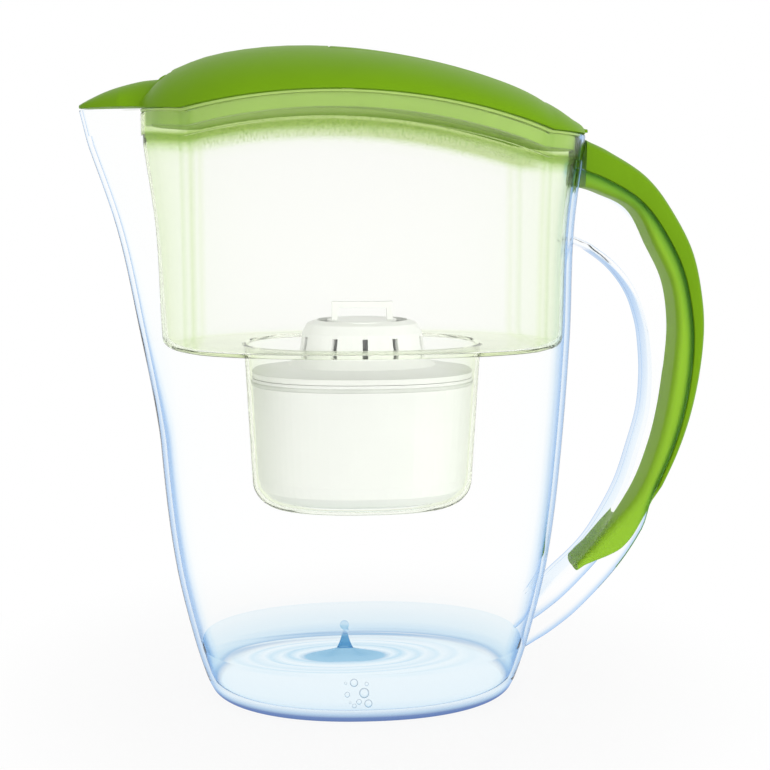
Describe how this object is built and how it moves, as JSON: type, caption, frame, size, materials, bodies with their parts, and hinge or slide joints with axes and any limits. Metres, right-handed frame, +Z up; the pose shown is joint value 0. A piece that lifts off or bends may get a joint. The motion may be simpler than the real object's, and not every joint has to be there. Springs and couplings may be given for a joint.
{
  "type": "water filter pitcher with flip lid",
  "caption": "Clear oval water pitcher with a loop handle and green grip, a hanging funnel with a filter cartridge, and a domed green lid with a flip lid and a spout flap.",
  "frame": {"origin": "on the table under the middle of the jug, in the plane of its flat foot", "axes": "+X to the handle, -X to the spout, +Z up, Y across the jug"},
  "size_m": [0.2587, 0.1088, 0.2689],
  "materials": {
    "clear_plastic": "clear, polished",
    "green_satin": "satin",
    "frosted_plastic": "translucent, smooth",
    "white_plastic": "satin",
    "white_cap": "smooth",
    "seal_rubber": "matt",
    "screen_mesh": "fine woven mesh",
    "granules": "loose dark granules",
    "green_frame": "smooth, a little translucent",
    "pin_steel": "drawn wire"
  },
  "bodies": {
    "jug_body": {"jug": "clear_plastic", "grip": "green_satin"},
    "funnel_body": {"funnel": "frosted_plastic"},
    "cartridge_body": {"cartridge_shell": "white_plastic", "cartridge_cap": "white_cap", "cartridge_seal": "seal_rubber", "cartridge_top_screen": "screen_mesh", "cartridge_bottom_screen": "screen_mesh", "filter_granules": "granules"},
    "lid_body": {"lid_shell": "green_satin", "lid_frame": "green_frame", "flip_hinge_pin": "pin_steel", "spout_flap_pin": "pin_steel"},
    "flip_lid_body": {"flip_lid": "green_satin"},
    "spout_flap_body": {"spout_flap": "green_satin"}
  },
  "joints": [
    {"name": "funnel_lift", "type": "slide", "parent": "jug_body", "child": "funnel_body", "axis": [0, 0, 1], "range_m": [0, 0.17]},
    {"name": "lid_lift", "type": "slide", "parent": "funnel_body", "child": "lid_body", "axis": [0, 0, 1], "range_m": [0, 0.2]},
    {"name": "cartridge_lift", "type": "slide", "parent": "funnel_body", "child": "cartridge_body", "axis": [0, 0, 1], "range_m": [0, 0.17]},
    {"name": "flip_lid_open", "type": "hinge", "parent": "lid_body", "child": "flip_lid_body", "pos_m": [-0.007, 0, 0.26256], "axis": [0, -1, 0], "range_deg": [0, 100]},
    {"name": "spout_flap_open", "type": "hinge", "parent": "lid_body", "child": "spout_flap_body", "pos_m": [-0.0769, 0, 0.25093], "axis": [0, 1, 0], "range_deg": [0, 40]}
  ],
  "couplings": [
    {"joint": "cartridge_lift", "follows": "lid_lift", "ratio": 0.85}
  ]
}
